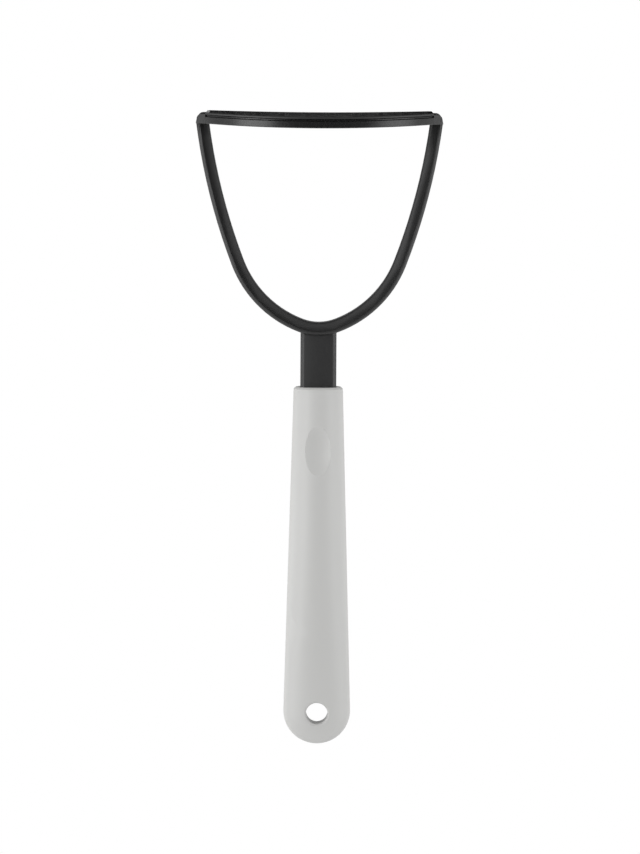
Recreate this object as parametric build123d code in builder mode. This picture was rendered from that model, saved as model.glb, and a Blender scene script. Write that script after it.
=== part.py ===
from build123d import *
from math import cos, pi, sin, sqrt
import os

# Potato masher, standing on its mashing face with the handle up.
# Millimetres. The origin is the centre of the base. X runs along the head, Y from front to
# back and Z up the handle. The thumb dimple faces the front, -Y.

# Head as a whole
head_width = 102.0
loop_rise = 87.9
foot_thickness = 4.0
overrun = 5.0

# Mashing plate
plate_middle_depth = 74.0
plate_end_depth = 36.0
plate_height = 4.6
plate_bow = 1.2
plate_land_rise = 0.08
plate_edge_chamfer = 0.3
deck_thickness = 3.0
rim_thickness = 2.4
hollow_corner_radius = 1.5
lip_height = 0.8
groove_height = 1.1
groove_depth = 0.5
groove_chamfer = 0.4

# Holes through the plate
hole_width = 7.4
hole_corner_chamfer = 1.2
hole_spacing = 10.2

# Tongues on the plate, which snap into the feet of the yoke
tongue_width = 12.0
tongue_height = 1.8
tongue_length = 2.4
socket_clearance = 0.1
seat_clearance = 0.1

# Bar of the loop: a body with a wider flange along its outer side
bar_depth = 5.2
bar_width = 9.0
bar_edge_chamfer = 0.7
flange_width = 13.0
flange_thickness = 1.5
flange_edge_chamfer = 0.5

# Course of the loop's outer side, as shares of half the head's width and of the loop's rise
crown_side_share = 0.166
crown_rise_share = 0.9824
bend_side_share = 0.7074
bend_rise_share = 0.6701

# Feet of the loop
foot_base_rise = 0.7
foot_lean = 0.7
foot_toe_radius = 2.0
foot_corner_radius = 5.0

# Shank, and the tang that runs on inside the handle
shank_length = 21.7
shank_width = 14.95
shank_chamfer = 1.7
shank_root_radius = 0.7
tang_length = 55.0
tang_width = 10.0
tang_thickness = 5.0
tang_corner_radius = 1.0
tang_clearance = 0.1
tang_end_gap = 0.5

# Handle
handle_length = 149.6
neck_width = 20.5
neck_depth = 18.0
neck_edge_chamfer = 0.8
grip_depth = 19.6
tail_width = 27.9
tail_depth = 12.4
grip_place_share = 0.45
handle_steps = 10

# Hanging hole through the round end of the handle
hanging_hole_from_end = 13.2
hanging_hole_diameter = 9.1
hanging_hole_edge_chamfer = 0.6

# Thumb dimple
dimple_from_neck = 25.8
dimple_depth = 2.0
dimple_radius = 28.0

# Sizes worked out from those above
plate_length = head_width - 2 * foot_thickness
crown_height = plate_height + loop_rise
neck_height = crown_height + shank_length
top_height = neck_height + handle_length
tail_radius = tail_width / 2
tail_height = top_height - tail_radius
taper_length = tail_height - neck_height
hanging_hole_height = top_height - hanging_hole_from_end
tongue_level = (foot_base_rise + plate_height) / 2


# Radius of an arc from half its span and its rise
def arc_radius(half_span, rise):
    return (half_span ** 2 + rise ** 2) / (2 * rise)


# Fall of the plate's bow below its top, at a distance from the middle
def bow_fall_at(distance):
    radius = arc_radius(plate_length / 2, plate_bow)
    return radius - sqrt(radius ** 2 - distance ** 2)


# Half the head's depth at a distance from its middle, measured an inset inside its side
def half_depth_at(distance, inset):
    radius = arc_radius(plate_length / 2, (plate_middle_depth - plate_end_depth) / 2)
    return plate_middle_depth / 2 - radius + sqrt((radius - inset) ** 2 - distance ** 2)


# Outline of the head seen from above, cut off square at its two ends
def head_outline(half_length, inset):
    middle = half_depth_at(0, inset)
    end = half_depth_at(half_length, inset)
    with BuildSketch() as outline:
        with BuildLine():
            ThreePointArc((-half_length, -end), (0, -middle), (half_length, -end))
            Line((half_length, -end), (half_length, end))
            ThreePointArc((half_length, end), (0, middle), (-half_length, end))
            Line((-half_length, end), (-half_length, -end))
        make_face()
    return outline.sketch


# Bowed slab between two heights above the ends of the mashing face, seen from the front
def bowed_slab(low, high):
    reach = plate_length / 2 + overrun
    fall = bow_fall_at(reach)
    with BuildSketch(Plane.XZ) as side:
        with BuildLine():
            under = ThreePointArc(
                (-reach, low + plate_bow - fall), (0, low + plate_bow), (reach, low + plate_bow - fall)
            )
            over = ThreePointArc(
                (-reach, high + plate_bow - fall), (0, high + plate_bow), (reach, high + plate_bow - fall)
            )
            Line(under @ 0, over @ 0)
            Line(under @ 1, over @ 1)
        make_face()
    return side.sketch


# Centres of the holes: straight columns, every second one moved by half a space
def hole_places():
    places = []
    clear_length = plate_length / 2 - rim_thickness
    columns = int((clear_length - hole_width / 2) / hole_spacing)
    for column in range(-columns, columns + 1):
        x = column * hole_spacing
        clear_depth = half_depth_at(abs(x) + hole_width / 2, rim_thickness)
        shift = hole_spacing / 2 if column % 2 else 0
        rows = int((clear_depth - hole_width / 2 - shift) / hole_spacing)
        first = -rows - 1 if shift else -rows
        for row in range(first, rows + 1):
            places.append((x, row * hole_spacing + shift))
    return places


tallest = plate_height + plate_bow + overrun
slab_depth = plate_middle_depth + overrun
plate_outline = head_outline(plate_length / 2, 0)

# Hollow on the handle side of the plate, inside its rim
with BuildPart() as plate_hollow:
    with BuildSketch() as hollow_outline:
        add(head_outline(plate_length / 2 - rim_thickness, rim_thickness))
        fillet(hollow_outline.vertices(), radius=hollow_corner_radius)
    extrude(amount=tallest)
    extrude(bowed_slab(deck_thickness, tallest), amount=slab_depth, both=True, mode=Mode.INTERSECT)

# Groove along the two long sides of the plate, just above its mashing edge
with BuildPart() as plate_groove:
    with BuildSketch():
        add(plate_outline)
        add(head_outline(plate_length / 2, groove_depth), mode=Mode.SUBTRACT)
    extrude(amount=tallest)
    groove_top = lip_height + groove_height
    extrude(bowed_slab(lip_height, groove_top), amount=slab_depth, both=True, mode=Mode.INTERSECT)
    floor_reach = plate_middle_depth / 2 - groove_depth / 2
    long_edges = plate_groove.edges().filter_by(lambda edge: edge.length > plate_length / 2)
    chamfer(long_edges.filter_by_position(Axis.Y, -floor_reach, floor_reach), length=groove_chamfer)

# Mashing plate
with BuildPart() as mashing_plate:
    extrude(plate_outline, amount=tallest, both=True)
    extrude(bowed_slab(-plate_land_rise, plate_height), amount=slab_depth, both=True, mode=Mode.INTERSECT)
    chamfer(mashing_plate.edges().filter_by(Axis.Z, reverse=True), length=plate_edge_chamfer)
    above_ground = (Align.CENTER, Align.CENTER, Align.MIN)
    Box(head_width, slab_depth, tallest, align=above_ground, mode=Mode.INTERSECT)
    add(plate_hollow.part, mode=Mode.SUBTRACT)
    add(plate_groove.part, mode=Mode.SUBTRACT)
    with BuildSketch() as holes:
        with Locations(hole_places()):
            Rectangle(hole_width, hole_width)
        chamfer(holes.vertices(), length=hole_corner_chamfer)
    extrude(amount=tallest, mode=Mode.SUBTRACT)
    with BuildSketch(Plane.XY.offset(tongue_level - tongue_height / 2)):
        with Locations((plate_length / 2, 0), (-plate_length / 2, 0)):
            Rectangle(2 * tongue_length, tongue_width)
    extrude(amount=tongue_height)

# Course of the loop's outer side, from foot to foot over the crown
half_width = head_width / 2
crown_side = half_width * crown_side_share
crown_side_height = plate_height + loop_rise * crown_rise_share
bend_side = half_width * bend_side_share
bend_height = plate_height + loop_rise * bend_rise_share
with BuildLine(Plane.XZ) as loop_course:
    crown = ThreePointArc(
        (-crown_side, crown_side_height), (0, crown_height), (crown_side, crown_side_height)
    )
    right_bend = TangentArc((crown_side, crown_side_height), (bend_side, bend_height), tangent=crown % 1)
    right_side = TangentArc((bend_side, bend_height), (half_width, plate_height), tangent=right_bend % 1)
    mirror(right_bend, about=Plane.YZ)
    mirror(right_side, about=Plane.YZ)

# Cross-section of the bar at the left foot, square to its course
loop_wire = loop_course.wires()[0]
section_plane = Plane(origin=loop_wire @ 0, x_dir=(0, -1, 0), z_dir=loop_wire % 0)
with BuildSketch(section_plane) as bar_section:
    with Locations((0, bar_depth / 2)):
        Rectangle(bar_width, bar_depth)
    with Locations((0, flange_thickness / 2)):
        Rectangle(flange_width, flange_thickness)
    chamfer(bar_section.vertices().group_by(Axis.Y)[-1], length=bar_edge_chamfer)
    chamfer(bar_section.vertices().group_by(Axis.X)[0], length=flange_edge_chamfer)
    chamfer(bar_section.vertices().group_by(Axis.X)[-1], length=flange_edge_chamfer)

# Yoke: the feet, the loop, the shank and the tang
with BuildPart() as yoke:
    with BuildSketch(Plane.XZ) as foot_outline:
        with BuildLine():
            Polyline(
                (plate_length / 2, foot_base_rise),
                (half_width - foot_lean, foot_base_rise),
                (half_width, plate_height),
                (plate_length / 2, plate_height),
                close=True,
            )
        make_face()
        fillet(foot_outline.vertices().group_by(Axis.Y)[0].sort_by(Axis.X)[-1], radius=foot_toe_radius)
        mirror(about=Plane.YZ)
    extrude(amount=plate_end_depth, both=True)
    with BuildSketch() as foot_plan:
        add(head_outline(half_width, 0))
        fillet(foot_plan.vertices(), radius=foot_corner_radius)
    extrude(amount=plate_height, mode=Mode.INTERSECT)
    sweep(bar_section.sketch, path=loop_wire)
    seat_rise = plate_bow - bow_fall_at(half_width - bar_depth - foot_lean)
    seat_height = plate_height + seat_rise + seat_clearance
    Box(plate_length, flange_width, 2 * seat_height, mode=Mode.SUBTRACT)
    shank_start = crown_height - bar_depth / 2
    with BuildSketch(Plane.XY.offset(shank_start)) as shank_section:
        Rectangle(shank_width, bar_width)
        chamfer(shank_section.vertices(), length=shank_chamfer)
    extrude(amount=neck_height - shank_start)
    shank_root = yoke.edges(Select.NEW).filter_by_position(Axis.Z, shank_start, crown_height)
    fillet(shank_root, radius=shank_root_radius)
    with BuildSketch(Plane.XY.offset(neck_height)):
        RectangleRounded(tang_width, tang_thickness, tang_corner_radius)
    extrude(amount=tang_length)
    with BuildSketch(Plane.XY.offset(tongue_level - tongue_height / 2 - socket_clearance)):
        with Locations((plate_length / 2, 0), (-plate_length / 2, 0)):
            Rectangle(2 * (tongue_length + socket_clearance), tongue_width + 2 * socket_clearance)
    extrude(amount=tongue_height + 2 * socket_clearance, mode=Mode.SUBTRACT)


# Width of the handle at a share of the way from its neck to its round end
def handle_width_at(place):
    return neck_width + (tail_width - neck_width) * place


# Depth of the handle there: it swells gently to the grip and thins to the tail
def handle_depth_at(place):
    if place < grip_place_share:
        swell = sin(pi / 2 * place / grip_place_share)
        return neck_depth + (grip_depth - neck_depth) * swell
    thinning = cos(pi * (place - grip_place_share) / (1 - grip_place_share))
    return tail_depth + (grip_depth - tail_depth) * (1 + thinning) / 2


# Round end of the handle, half of a ball flattened from front to back
with BuildPart() as round_end:
    Sphere(tail_radius, arc_size1=0, align=(Align.CENTER, Align.CENTER, Align.MIN))
    scale(by=(1, tail_depth / tail_width, 1))

# Handle
with BuildPart() as handle:
    for step in range(handle_steps + 1):
        place = step / handle_steps
        with BuildSketch(Plane.XY.offset(neck_height + taper_length * place)):
            Ellipse(handle_width_at(place) / 2, handle_depth_at(place) / 2)
    loft(ruled=True)
    chamfer(handle.edges().group_by(Axis.Z)[0], length=neck_edge_chamfer)
    with Locations((0, 0, tail_height)):
        add(round_end.part)
    with BuildSketch(Plane.XY.offset(neck_height)):
        RectangleRounded(
            tang_width + 2 * tang_clearance,
            tang_thickness + 2 * tang_clearance,
            tang_corner_radius + tang_clearance,
        )
    extrude(amount=tang_length + tang_end_gap, mode=Mode.SUBTRACT)
    dimple_front = -handle_depth_at(dimple_from_neck / taper_length) / 2
    with Locations((0, dimple_front + dimple_depth - dimple_radius, neck_height + dimple_from_neck)):
        Sphere(dimple_radius, mode=Mode.SUBTRACT)
    with BuildSketch(Plane(origin=(0, 0, hanging_hole_height), x_dir=(1, 0, 1), z_dir=(0, -1, 0))):
        Circle(hanging_hole_diameter / 2)
    extrude(amount=neck_depth, both=True, mode=Mode.SUBTRACT)
    mouths = handle.edges(Select.NEW).filter_by(GeomType.LINE, reverse=True)
    chamfer(mouths, length=hanging_hole_edge_chamfer)

mashing_plate.part.label = "mashing_plate"
yoke.part.label = "yoke"
handle.part.label = "handle"

os.makedirs("parts", exist_ok=True)
export_step(mashing_plate.part, "parts/mashing_plate.step")
export_step(yoke.part, "parts/yoke.step")
export_step(handle.part, "parts/handle.step")
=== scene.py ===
"""Looks of a potato masher: its plate, yoke and handle, and the studio round it."""

from math import cos, radians, sin, sqrt

import bpy
from bpy.props import FloatProperty, FloatVectorProperty, PointerProperty
from mathutils import Matrix, Vector


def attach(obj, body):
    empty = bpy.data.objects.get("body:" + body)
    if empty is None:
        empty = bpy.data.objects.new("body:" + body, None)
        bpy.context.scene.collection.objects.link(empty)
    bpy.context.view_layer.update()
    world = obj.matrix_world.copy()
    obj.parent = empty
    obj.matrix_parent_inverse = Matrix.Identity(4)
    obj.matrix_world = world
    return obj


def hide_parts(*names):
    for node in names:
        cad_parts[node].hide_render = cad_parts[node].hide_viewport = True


bl_info = {
    "name": "Potato Masher",
    "version": (1, 0, 0),
    "blender": (4, 5, 0),
    "location": "3D View > Sidebar > Masher",
    "description": "Makes the finish of a potato masher's pieces and the studio they stand in",
    "category": "Object",
}

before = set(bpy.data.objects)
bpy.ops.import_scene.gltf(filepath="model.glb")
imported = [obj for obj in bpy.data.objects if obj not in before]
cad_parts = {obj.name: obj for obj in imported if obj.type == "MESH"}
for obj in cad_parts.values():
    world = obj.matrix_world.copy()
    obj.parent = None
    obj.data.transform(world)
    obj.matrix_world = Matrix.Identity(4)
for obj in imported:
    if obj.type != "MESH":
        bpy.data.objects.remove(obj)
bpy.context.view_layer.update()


# Sizes and colours that a user may change


class PlateLooks(bpy.types.PropertyGroup):
    colour: FloatVectorProperty(
        name="Colour", description="Colour of the plate's nylon",
        subtype="COLOR", size=3, min=0, max=1, default=(0.003, 0.003, 0.0033),
    )
    refraction: FloatProperty(
        name="Refraction", description="Index of refraction, which sets the strength of the gloss",
        min=1, default=1.54,
    )
    roughness: FloatProperty(
        name="Roughness", description="Roughness of the plate's smooth walls",
        subtype="FACTOR", min=0, max=1, default=0.25,
    )
    grain_size: FloatProperty(
        name="Grain size", description="Size of the faint moulding grain",
        unit="LENGTH", min=0.0001, default=0.0006,
    )
    grain_depth: FloatProperty(
        name="Grain depth", description="Depth of the faint moulding grain",
        unit="LENGTH", min=0, default=0.000006,
    )
    tone_share: FloatProperty(
        name="Tone share", description="Share by which the colour changes from place to place",
        subtype="FACTOR", min=0, max=1, default=0.1,
    )
    tone_size: FloatProperty(
        name="Tone size", description="Size of the places whose colour differs",
        unit="LENGTH", min=0.001, default=0.012,
    )
    lip_height: FloatProperty(
        name="Lip height", description="Height of the lip round the mashing face, which is worn matt and painted paler as a highlight",
        unit="LENGTH", min=0, default=0.0008,
    )
    bow: FloatProperty(
        name="Bow", description="Rise of the mashing face in its middle, which the lip follows",
        unit="LENGTH", min=0, default=0.0012,
    )
    # Paler colour of the lip: a painted highlight, not the nylon's own colour
    lip_highlight_colour: FloatVectorProperty(
        name="Lip highlight colour", description="Colour painted on the lip as a highlight",
        subtype="COLOR", size=3, min=0, max=1, default=(0.014, 0.014, 0.0145),
    )
    lip_roughness: FloatProperty(
        name="Lip roughness", description="Roughness of the lip where it is worn",
        subtype="FACTOR", min=0, max=1, default=0.45,
    )


class YokeLooks(bpy.types.PropertyGroup):
    colour: FloatVectorProperty(
        name="Colour", description="Colour of the yoke's nylon",
        subtype="COLOR", size=3, min=0, max=1, default=(0.0055, 0.0055, 0.0058),
    )
    refraction: FloatProperty(
        name="Refraction", description="Index of refraction, which sets the strength of the gloss",
        min=1, default=1.6,
    )
    roughness: FloatProperty(
        name="Roughness", description="Roughness of the spark-grained nylon",
        subtype="FACTOR", min=0, max=1, default=0.5,
    )
    grain_size: FloatProperty(
        name="Grain size", description="Size of the spark grain of the mould",
        unit="LENGTH", min=0.0001, default=0.00042,
    )
    grain_depth: FloatProperty(
        name="Grain depth", description="Depth of the spark grain of the mould",
        unit="LENGTH", min=0, default=0.00003,
    )
    tone_share: FloatProperty(
        name="Tone share", description="Share by which the colour changes from place to place",
        subtype="FACTOR", min=0, max=1, default=0.15,
    )
    tone_size: FloatProperty(
        name="Tone size", description="Size of the places whose colour differs",
        unit="LENGTH", min=0.001, default=0.008,
    )
    shoulder_drop: FloatProperty(
        name="Shoulder drop", description="How far the flange's outer edge is rounded away",
        unit="LENGTH", min=0, default=0.0011,
    )


class HandleLooks(bpy.types.PropertyGroup):
    colour: FloatVectorProperty(
        name="Colour", description="Colour of the handle's plastic",
        subtype="COLOR", size=3, min=0, max=1, default=(0.555, 0.555, 0.545),
    )
    refraction: FloatProperty(
        name="Refraction", description="Index of refraction, which sets the strength of the gloss",
        min=1, default=1.5,
    )
    roughness: FloatProperty(
        name="Roughness", description="Roughness of the satin plastic",
        subtype="FACTOR", min=0, max=1, default=0.48,
    )
    grain_size: FloatProperty(
        name="Grain size", description="Size of the fine satin grain",
        unit="LENGTH", min=0.0001, default=0.0005,
    )
    grain_depth: FloatProperty(
        name="Grain depth", description="Depth of the fine satin grain",
        unit="LENGTH", min=0, default=0.000008,
    )
    tone_share: FloatProperty(
        name="Tone share", description="Share by which the colour changes from place to place",
        subtype="FACTOR", min=0, max=1, default=0.015,
    )
    tone_size: FloatProperty(
        name="Tone size", description="Size of the places whose colour differs",
        unit="LENGTH", min=0.001, default=0.02,
    )
    rounding: FloatProperty(
        name="Rounding", description="Width by which the handle's edges are broken",
        unit="LENGTH", min=0, default=0.0003,
    )
    dimple_height: FloatProperty(
        name="Dimple height", description="Height of the middle of the thumb dimple",
        unit="LENGTH", default=0.140,
    )
    dimple_depth: FloatProperty(
        name="Dimple depth", description="Depth of the thumb dimple",
        unit="LENGTH", min=0.0005, default=0.0024,
    )
    dimple_side_curve: FloatProperty(
        name="Dimple side curve", description="Radius of the dimple from side to side",
        unit="LENGTH", min=0.005, default=0.0125,
    )
    dimple_long_curve: FloatProperty(
        name="Dimple long curve", description="Radius of the dimple along the handle",
        unit="LENGTH", min=0.005, default=0.0256,
    )


class StudioSettings(bpy.types.PropertyGroup):
    camera_distance: FloatProperty(
        name="Camera distance", description="Distance from the camera to the masher's axis",
        unit="LENGTH", min=0.5, default=2.2,
    )
    camera_drop: FloatProperty(
        name="Camera drop", description="How far the camera stands below the mashing face",
        unit="LENGTH", default=0.056,
    )
    aim_height: FloatProperty(
        name="Aim height", description="Height on the masher that the camera looks at",
        unit="LENGTH", default=0.131,
    )
    aim_side: FloatProperty(
        name="Aim to the side", description="How far beside the axis the camera looks",
        unit="LENGTH", default=-0.0008,
    )
    camera_roll: FloatProperty(
        name="Camera roll", description="Turn of the camera about its line of sight",
        subtype="ANGLE", default=radians(180.28),
    )
    focal_length: FloatProperty(
        name="Focal length", description="Focal length of the lens, in millimetres",
        min=10, default=223.6,
    )
    floor_size: FloatProperty(
        name="Floor size", description="Width of the floor",
        unit="LENGTH", min=0.5, default=6.0,
    )
    floor_colour: FloatVectorProperty(
        name="Floor colour", description="Colour of the floor",
        subtype="COLOR", size=3, min=0, max=1, default=(0.8, 0.8, 0.8),
    )
    room_level: FloatProperty(
        name="Room level", description="Light from the white walls, which are dark round the camera",
        min=0, max=1, default=0.9,
    )
    backdrop_level: FloatProperty(
        name="Backdrop level", description="Light that falls on the masher from the white backdrop",
        min=0, max=1, default=0.15,
    )
    lamp_distance: FloatProperty(
        name="Lamp distance", description="Distance of each lamp from the masher",
        unit="LENGTH", min=0.3, default=3.3,
    )
    lamp_width: FloatProperty(
        name="Lamp width", description="Width of each lamp",
        unit="LENGTH", min=0.1, default=1.5,
    )
    lamp_height: FloatProperty(
        name="Lamp height", description="Height of each lamp",
        unit="LENGTH", min=0.1, default=3.0,
    )
    left_angle: FloatProperty(
        name="Left angle", description="Angle from the camera to the softbox on the picture's left",
        subtype="ANGLE", default=radians(47),
    )
    left_power: FloatProperty(
        name="Left power", description="Power of the softbox on the picture's left, in watts",
        min=0, default=58.0,
    )
    right_angle: FloatProperty(
        name="Right angle", description="Angle from the camera to the softbox on the picture's right",
        subtype="ANGLE", default=radians(56),
    )
    right_power: FloatProperty(
        name="Right power", description="Power of the softbox on the picture's right, in watts",
        min=0, default=36.0,
    )
    rim_angle: FloatProperty(
        name="Rim angle", description="Angle from the camera to the rim lamp on each side",
        subtype="ANGLE", default=radians(100),
    )
    rim_power: FloatProperty(
        name="Rim power", description="Power of each rim lamp, in watts",
        min=0, default=17.0,
    )


class MasherSettings(bpy.types.PropertyGroup):
    plate: PointerProperty(type=PlateLooks)
    yoke: PointerProperty(type=YokeLooks)
    handle: PointerProperty(type=HandleLooks)
    studio: PointerProperty(type=StudioSettings)


# Places on the CAD pieces that the changes below look for, all in metres

# Half the plate's length with its tongues
PLATE_REACH = 0.0494

# Heights on the yoke, the last one where the shank's wide faces start
FOOT_TOP = 0.006
LOOP_MIDDLE = 0.03
FLANGE_TOP = 0.093
SHANK_FACE_FOOT = 0.0912

# Section of the flange
FLANGE_HALF_WIDTH = 0.0065
FLANGE_CHAMFER = 0.0005

# Depth at which the handle is solid behind its cavity
WALL_DEPTH = 0.003

# The CAD's dimple lies further forward than this, and reaches this far sideways and along
DIMPLE_FRONT = -0.006
DIMPLE_REACH = (0.0065, 0.0115)

# How near to a place counts as being there, and how near two corners are when they are one
NEARNESS = 0.0001
MERGE_DISTANCE = 1e-6

# How far a normal points to the front or back on the flange's square edge and on its chamfers
SQUARE_NORMAL_LIMIT = 0.1
SLANTED_NORMAL_LIMITS = (0.6, 0.8)

# Shares of the shoulder's drop at the flange's four lines of corners, outer one first
SHOULDER_SHARES = (1, 0.32, 0.07, 0)

# Egg that carves the dimple: its half depth, in dimple depths, and its faces
EGG_DEPTHS = 4
EGG_SEGMENTS = 96
EGG_RINGS = 64

# Angles up to which faces are joined into a flat face or a quad
FLAT_ANGLE = radians(0.5)
QUAD_ANGLE = radians(8)
QUAD_SHAPE_ANGLE = radians(80)

# Angles up to which edges are shaded smooth, and from which the handle's edges are rounded
YOKE_SMOOTH_ANGLE = radians(55)
HANDLE_SMOOTH_ANGLE = radians(28)
SHARP_ANGLE = radians(30)
ROUNDING_SEGMENTS = 2

# Noise of the grain and of the tone, and how far the grain changes a plastic's roughness
GRAIN_DETAIL = 3
GRAIN_ROUGHNESS = 0.6
GRAIN_RANGE = (0.3, 0.7)
GLOSS_SPREAD = 0.05
TONE_DETAIL = 2
TONE_ROUGHNESS = 0.5

# Share of the floor's width at which it starts to fade into the white backdrop
FLOOR_FADE_SHARE = 0.2

# Y of the directions over which the dark round the camera gives way to the walls,
# and over which the walls give way to the backdrop
CAMERA_DARK = (-0.9, -0.5)
BACKDROP_START = (0.1, 0.6)

# Width of the camera's sensor, in millimetres
SENSOR_WIDTH = 36


# Helpers


def deselect_all():
    """Deselects every object."""
    bpy.ops.object.select_all(action="DESELECT")


def select_only(thing):
    """Selects one object and makes it the active one."""
    deselect_all()
    thing.select_set(True)
    bpy.context.view_layer.objects.active = thing


def new_material(name):
    """An empty node material, with its tree and its output node."""
    material = bpy.data.materials.new(name)
    material.use_nodes = True
    tree = material.node_tree
    tree.nodes.clear()
    output = tree.nodes.new("ShaderNodeOutputMaterial")
    return material, tree, output


def give_material(piece, material):
    """Puts one material on a whole piece."""
    piece.data.materials.clear()
    piece.data.materials.append(material)


def feed(tree, sockets, values):
    """Gives each socket its value, or links it to the socket of another node."""
    for socket, value in zip(sockets, values):
        if isinstance(value, bpy.types.NodeSocket):
            tree.links.new(value, socket)
        else:
            socket.default_value = value


def calculate(tree, operation, *values):
    """The result of a Math node."""
    step = tree.nodes.new("ShaderNodeMath")
    step.operation = operation
    feed(tree, step.inputs, values)
    return step.outputs["Value"]


def remap(tree, value, start, end, interpolation="LINEAR"):
    """The result of a Map Range node, from a pair of values to another pair."""
    step = tree.nodes.new("ShaderNodeMapRange")
    step.interpolation_type = interpolation
    feed(tree, step.inputs, (value, *start, *end))
    return step.outputs["Result"]


def mixed(tree, kind, share, first, second):
    """The result of a Mix node, for numbers or colours."""
    step = tree.nodes.new("ShaderNodeMix")
    step.data_type = kind
    sockets = (step.inputs["Factor"], step.inputs["A"], step.inputs["B"])
    feed(tree, sockets, (share, first, second))
    return step.outputs["Result"]


def noise(tree, size, detail, roughness):
    """The result of a noise texture with blots of a given size, fixed to the piece."""
    place = tree.nodes.new("ShaderNodeTexCoord")
    texture = tree.nodes.new("ShaderNodeTexNoise")
    tree.links.new(place.outputs["Object"], texture.inputs["Vector"])
    texture.inputs["Scale"].default_value = 1 / size
    texture.inputs["Detail"].default_value = detail
    texture.inputs["Roughness"].default_value = roughness
    return texture.outputs["Fac"]


def rays_that_see(tree):
    """Two results: is a ray the camera's own, and is it mirrored or on its way through glass."""
    path = tree.nodes.new("ShaderNodeLightPath")
    glossy, passing = path.outputs["Is Glossy Ray"], path.outputs["Is Transmission Ray"]
    return path.outputs["Is Camera Ray"], calculate(tree, "MAXIMUM", glossy, passing)


def moulded_plastic(name, looks):
    """Plastic with a grain in its bump and roughness, and a faint change of tone."""
    material, tree, output = new_material(name)
    link = tree.links.new
    shader = tree.nodes.new("ShaderNodeBsdfPrincipled")
    shader.inputs["IOR"].default_value = looks.refraction
    link(shader.outputs["BSDF"], output.inputs["Surface"])

    grain = noise(tree, looks.grain_size, GRAIN_DETAIL, GRAIN_ROUGHNESS)
    bump = tree.nodes.new("ShaderNodeBump")
    bump.inputs["Strength"].default_value = 1
    bump.inputs["Distance"].default_value = looks.grain_depth
    link(grain, bump.inputs["Height"])
    link(bump.outputs["Normal"], shader.inputs["Normal"])
    spread = (looks.roughness - GLOSS_SPREAD, looks.roughness + GLOSS_SPREAD)
    link(remap(tree, grain, GRAIN_RANGE, spread), shader.inputs["Roughness"])

    cloud = noise(tree, looks.tone_size, TONE_DETAIL, TONE_ROUGHNESS)
    dark = (*[part * (1 - looks.tone_share) for part in looks.colour], 1)
    pale = (*[min(1, part * (1 + looks.tone_share)) for part in looks.colour], 1)
    link(mixed(tree, "RGBA", cloud, dark, pale), shader.inputs["Base Color"])
    return material


def matt_lip_and_paint_highlight(material, looks):
    """Makes the plastic matt on the lip round the bowed mashing face, and paints the lip a little paler
    there as a painted highlight.
    """
    tree = material.node_tree
    shader = tree.nodes["Principled BSDF"]
    place = tree.nodes.new("ShaderNodeTexCoord")
    split = tree.nodes.new("ShaderNodeSeparateXYZ")
    tree.links.new(place.outputs["Object"], split.inputs["Vector"])

    # Height above the bowed face, which falls with the square of the distance from the middle
    square = calculate(tree, "MULTIPLY", split.outputs["X"], split.outputs["X"])
    fall = calculate(tree, "MULTIPLY_ADD", square, looks.bow / PLATE_REACH ** 2, -looks.bow)
    height = calculate(tree, "ADD", split.outputs["Z"], fall)
    # Share of the lip: it is made matt there and gets the painted highlight
    edge = (looks.lip_height - NEARNESS, looks.lip_height + NEARNESS)
    wear_and_highlight_share = remap(tree, height, edge, (1, 0))

    # The lip takes its own roughness, and a paler colour that is a painted highlight
    for name, kind, lip_value in (
        ("Roughness", "FLOAT", looks.lip_roughness),
        ("Base Color", "RGBA", (*looks.lip_highlight_colour, 1)),
    ):
        socket = shader.inputs[name]
        plain = socket.links[0].from_socket
        tree.links.new(mixed(tree, kind, wear_and_highlight_share, plain, lip_value), socket)


def merged_copy(node, piece_name):
    """A copy of a CAD node with its corners joined, which takes the node's place."""
    deselect_all()
    piece = bpy.data.objects.new(piece_name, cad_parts[node].data.copy())
    bpy.context.scene.collection.objects.link(piece)
    select_only(piece)
    bpy.ops.mesh.customdata_custom_splitnormals_clear()
    bpy.ops.object.mode_set(mode="EDIT")
    bpy.ops.mesh.select_all(action="SELECT")
    bpy.ops.mesh.remove_doubles(threshold=MERGE_DISTANCE)
    bpy.ops.mesh.select_all(action="DESELECT")
    bpy.ops.object.mode_set(mode="OBJECT")
    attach(piece, "root")
    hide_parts(node)
    return piece


def break_edges(piece, width):
    """Rounds the sharp edges of a piece by a small width."""
    bevel = piece.modifiers.new("rounding", "BEVEL")
    bevel.width = width
    bevel.segments = ROUNDING_SEGMENTS
    bevel.limit_method = "ANGLE"
    bevel.angle_limit = SHARP_ANGLE
    bpy.ops.object.modifier_apply(modifier=bevel.name)


def join_flat_faces():
    """Joins the triangles of the active piece into flat faces and long quads."""
    bpy.ops.object.mode_set(mode="EDIT")
    bpy.ops.mesh.select_all(action="SELECT")
    bpy.ops.mesh.dissolve_limited(angle_limit=FLAT_ANGLE)
    bpy.ops.mesh.tris_convert_to_quads(face_threshold=QUAD_ANGLE, shape_threshold=QUAD_SHAPE_ANGLE)
    bpy.ops.mesh.select_all(action="DESELECT")
    bpy.ops.object.mode_set(mode="OBJECT")


def handle_back(piece, side, height):
    """How far the handle's plain back lies from the axis, which its front mirrors."""
    start = Vector((side, WALL_DEPTH, height))
    hit, place, _, _ = piece.ray_cast(start, Vector((0, 1, 0)))
    if not hit:
        raise RuntimeError("the handle's back wasn't found")
    return place.y


def fill_dimple(piece, looks):
    """Lays the corners of the CAD's dimple on the round front."""
    side_reach, long_reach = DIMPLE_REACH
    for corner in piece.data.vertices:
        side, height = corner.co.x, corner.co.z
        near = abs(side) < side_reach and abs(height - looks.dimple_height) < long_reach
        if near and corner.co.y < DIMPLE_FRONT:
            corner.co.y = -handle_back(piece, side, height)


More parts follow.
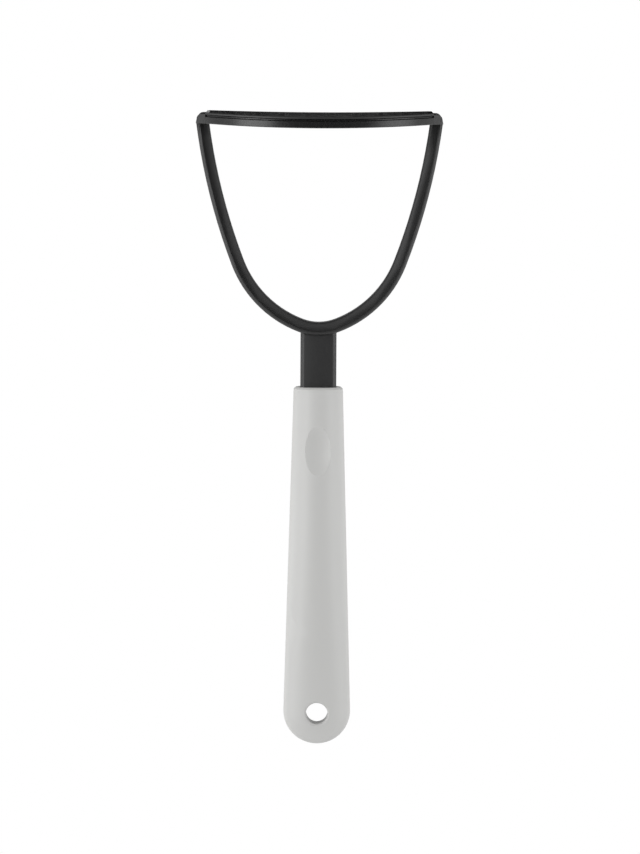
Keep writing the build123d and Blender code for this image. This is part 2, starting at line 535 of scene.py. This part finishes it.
def carve_dimple(piece, looks):
    """Cuts the thumb dimple with a long egg, whose curves across and along differ."""
    egg_depth = EGG_DEPTHS * looks.dimple_depth
    front = -handle_back(piece, 0, looks.dimple_height)
    deselect_all()
    bpy.ops.mesh.primitive_uv_sphere_add(
        segments=EGG_SEGMENTS, ring_count=EGG_RINGS,
        location=(0, front + looks.dimple_depth - egg_depth, looks.dimple_height),
    )
    egg = bpy.context.object
    side_reach = sqrt(looks.dimple_side_curve * egg_depth)
    long_reach = sqrt(looks.dimple_long_curve * egg_depth)
    egg.scale = (side_reach, egg_depth, long_reach)
    bpy.ops.object.transform_apply(location=False, rotation=False, scale=True)
    select_only(piece)
    cut = piece.modifiers.new("thumb_dimple", "BOOLEAN")
    cut.operation = "DIFFERENCE"
    cut.object = egg
    bpy.ops.object.modifier_apply(modifier=cut.name)
    bpy.data.objects.remove(egg)


def flange_rings(piece):
    """The four lines of corners along the edges of the loop's flange, outer one first."""
    rings = [set() for _ in SHOULDER_SHARES]
    corners = piece.data.vertices
    least_slant, most_slant = SLANTED_NORMAL_LIMITS
    for face in piece.data.polygons:
        if not FOOT_TOP < face.center.z < FLANGE_TOP:
            continue
        side = Vector((face.center.x, 0, face.center.z - LOOP_MIDDLE))
        outer = face.normal.dot(side) > 0
        square = abs(face.normal.y) < SQUARE_NORMAL_LIMIT
        slanted = least_slant < abs(face.normal.y) < most_slant
        for index in face.vertices:
            below_edge = FLANGE_HALF_WIDTH - abs(corners[index].co.y)
            if square and abs(below_edge - FLANGE_CHAMFER) < NEARNESS:
                rings[0 if outer else 3].add(index)
            if slanted and abs(below_edge) < NEARNESS:
                rings[1 if outer else 2].add(index)
    return rings


def round_flange(piece, shoulder_drop):
    """Gives the flange of the loop a round outer shoulder."""
    for ring, drop_share in zip(flange_rings(piece), SHOULDER_SHARES):
        for index in ring:
            piece.data.vertices[index].select = True
        width = FLANGE_HALF_WIDTH - drop_share * shoulder_drop
        share = width / abs(piece.data.vertices[min(ring)].co.y)
        bpy.ops.object.mode_set(mode="EDIT")
        bpy.ops.transform.resize(value=(1, share, 1), center_override=(0, 0, 0))
        bpy.ops.mesh.select_all(action="DESELECT")
        bpy.ops.object.mode_set(mode="OBJECT")


def keep_wide_faces_flat(piece, shoulder_drop):
    """Keeps the shank's faces and the flange's outer face flat beside their rounded edges."""
    outer_edge = FLANGE_HALF_WIDTH - shoulder_drop
    wide = [
        corner.index for corner in piece.data.vertices
        if corner.co.z > SHANK_FACE_FOOT or abs(abs(corner.co.y) - outer_edge) < NEARNESS
    ]
    group = piece.vertex_groups.new(name="wide_faces")
    group.add(wide, 1, "REPLACE")
    weighting = piece.modifiers.new("wide_faces", "WEIGHTED_NORMAL")
    weighting.keep_sharp = True
    weighting.vertex_group = group.name
    bpy.ops.object.modifier_apply(modifier=weighting.name)


# Pieces


class MASHER_OT_mashing_plate(bpy.types.Operator):
    """Finish the mashing plate in smooth, slightly glossy black nylon"""

    bl_idname = "masher.mashing_plate"
    bl_label = "Mashing plate"

    def execute(self, context):
        looks = context.scene.masher.plate
        nylon = moulded_plastic("smooth_black_nylon", looks)
        # Makes the lip matt and paints a highlight on it
        matt_lip_and_paint_highlight(nylon, looks)
        give_material(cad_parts["mashing_plate"], nylon)
        return {"FINISHED"}


class MASHER_OT_yoke(bpy.types.Operator):
    """Finish the yoke in black nylon with a spark grain"""

    bl_idname = "masher.yoke"
    bl_label = "Yoke"

    def execute(self, context):
        looks = context.scene.masher.yoke
        piece = merged_copy("yoke", "yoke_arm")
        round_flange(piece, looks.shoulder_drop)
        join_flat_faces()
        bpy.ops.object.shade_smooth_by_angle(angle=YOKE_SMOOTH_ANGLE)
        keep_wide_faces_flat(piece, looks.shoulder_drop)
        give_material(piece, moulded_plastic("grained_black_nylon", looks))
        return {"FINISHED"}


class MASHER_OT_handle(bpy.types.Operator):
    """Finish the handle in satin light grey plastic"""

    bl_idname = "masher.handle"
    bl_label = "Handle"

    def execute(self, context):
        looks = context.scene.masher.handle
        piece = merged_copy("handle", "handle_grip")
        fill_dimple(piece, looks)
        carve_dimple(piece, looks)
        break_edges(piece, looks.rounding)
        bpy.ops.object.shade_smooth_by_angle(angle=HANDLE_SMOOTH_ANGLE)
        give_material(piece, moulded_plastic("satin_grey_plastic", looks))
        return {"FINISHED"}


# Studio


def one_sided_floor(colour, size):
    """A floor that shows from above, fades out at its rim, and is clear from below."""
    material, tree, output = new_material("pale_floor")
    from_camera, mirrored = rays_that_see(tree)
    side = tree.nodes.new("ShaderNodeNewGeometry")
    seen = calculate(tree, "MAXIMUM", from_camera, mirrored)
    above = calculate(tree, "SUBTRACT", 1, side.outputs["Backfacing"])
    seen_from_above = calculate(tree, "MULTIPLY", seen, above)

    place = tree.nodes.new("ShaderNodeTexCoord")
    reach = tree.nodes.new("ShaderNodeVectorMath")
    reach.operation = "LENGTH"
    tree.links.new(place.outputs["Object"], reach.inputs[0])
    rim = (FLOOR_FADE_SHARE * size, size / 2)
    fade = remap(tree, reach.outputs["Value"], rim, (1, 0), "SMOOTHSTEP")
    shown = calculate(tree, "MULTIPLY", seen_from_above, fade)

    clear = tree.nodes.new("ShaderNodeBsdfTransparent")
    solid = tree.nodes.new("ShaderNodeBsdfDiffuse")
    solid.inputs["Color"].default_value = (*colour, 1)
    mix = tree.nodes.new("ShaderNodeMixShader")
    feed(tree, mix.inputs, (shown, clear.outputs["BSDF"], solid.outputs["BSDF"]))
    tree.links.new(mix.outputs["Shader"], output.inputs["Surface"])
    return material


def light_room(room_level, backdrop_level):
    """A white room, dark in the directions round the camera, with a white backdrop."""
    world = bpy.data.worlds.new("white_studio")
    bpy.context.scene.world = world
    world.use_nodes = True
    tree = world.node_tree
    tree.nodes.clear()
    output = tree.nodes.new("ShaderNodeOutputWorld")
    background = tree.nodes.new("ShaderNodeBackground")
    background.inputs["Color"].default_value = (1, 1, 1, 1)
    tree.links.new(background.outputs["Background"], output.inputs["Surface"])
    direction = tree.nodes.new("ShaderNodeTexCoord")
    split = tree.nodes.new("ShaderNodeSeparateXYZ")
    tree.links.new(direction.outputs["Generated"], split.inputs["Vector"])
    depth = split.outputs["Y"]
    room = remap(tree, depth, CAMERA_DARK, (0, 1), "SMOOTHSTEP")
    walls = remap(tree, depth, BACKDROP_START, (room_level, backdrop_level), "SMOOTHSTEP")

    # Reflections see the room white, the camera sees it white all round
    from_camera, mirrored = rays_that_see(tree)
    level = calculate(tree, "MAXIMUM", walls, mirrored)
    shaded = calculate(tree, "MULTIPLY", room, level)
    strength = calculate(tree, "MAXIMUM", shaded, from_camera)
    tree.links.new(strength, background.inputs["Strength"])


def add_lamp(name, angle, power, studio):
    """A tall lamp at the masher's mid height, at an angle from the camera's side."""
    offset = Vector((sin(angle), -cos(angle), 0)) * studio.lamp_distance
    bpy.ops.object.light_add(type="AREA", location=Vector((0, 0, studio.aim_height)) + offset)
    lamp = bpy.context.object
    lamp.name = name
    lamp.data.shape = "RECTANGLE"
    lamp.data.size = studio.lamp_width
    lamp.data.size_y = studio.lamp_height
    lamp.data.energy = power
    lamp.rotation_euler = (-offset).to_track_quat("-Z", "Y").to_euler()
    lamp.visible_camera = False


class MASHER_OT_studio(bpy.types.Operator):
    """Make the floor, the soft light and the camera"""

    bl_idname = "masher.studio"
    bl_label = "Studio"

    def execute(self, context):
        studio = context.scene.masher.studio
        deselect_all()
        bpy.ops.mesh.primitive_plane_add(size=studio.floor_size)
        floor = context.object
        floor.name = "floor"
        give_material(floor, one_sided_floor(studio.floor_colour, studio.floor_size))
        light_room(studio.room_level, studio.backdrop_level)
        add_lamp("softbox_left", studio.left_angle, studio.left_power, studio)
        add_lamp("softbox_right", -studio.right_angle, studio.right_power, studio)
        add_lamp("rim_lamp_left", studio.rim_angle, studio.rim_power, studio)
        add_lamp("rim_lamp_right", -studio.rim_angle, studio.rim_power, studio)

        start = Vector((studio.aim_side, -studio.camera_distance, -studio.camera_drop))
        aim = Vector((studio.aim_side, 0, studio.aim_height))
        bpy.ops.object.camera_add(location=start)
        camera = context.object
        camera.data.sensor_width = SENSOR_WIDTH
        camera.data.lens = studio.focal_length
        camera.rotation_mode = "QUATERNION"
        look = (aim - start).to_track_quat("-Z", "Y")
        roll = Matrix.Rotation(studio.camera_roll, 4, "Z").to_quaternion()
        camera.rotation_quaternion = look @ roll
        context.scene.camera = camera
        context.scene.view_settings.view_transform = "Standard"
        return {"FINISHED"}


class MASHER_PT_panel(bpy.types.Panel):
    """Sizes, colours and steps of the potato masher"""

    bl_idname = "MASHER_PT_panel"
    bl_label = "Potato masher"
    bl_space_type = "VIEW_3D"
    bl_region_type = "UI"
    bl_category = "Masher"

    def draw(self, context):
        settings = context.scene.masher
        for step, group in (
            (MASHER_OT_mashing_plate, settings.plate),
            (MASHER_OT_yoke, settings.yoke),
            (MASHER_OT_handle, settings.handle),
            (MASHER_OT_studio, settings.studio),
        ):
            box = self.layout.box()
            box.operator(step.bl_idname)
            for name in group.__annotations__:
                box.prop(group, name)


CLASSES = (
    PlateLooks,
    YokeLooks,
    HandleLooks,
    StudioSettings,
    MasherSettings,
    MASHER_OT_mashing_plate,
    MASHER_OT_yoke,
    MASHER_OT_handle,
    MASHER_OT_studio,
    MASHER_PT_panel,
)


def register():
    for kind in CLASSES:
        bpy.utils.register_class(kind)
    bpy.types.Scene.masher = PointerProperty(type=MasherSettings)


def unregister():
    del bpy.types.Scene.masher
    for kind in reversed(CLASSES):
        bpy.utils.unregister_class(kind)


def main():
    """Makes the masher and its studio."""
    register()
    bpy.ops.masher.mashing_plate()
    bpy.ops.masher.yoke()
    bpy.ops.masher.handle()
    bpy.ops.masher.studio()


if __name__ == "__main__":
    main()
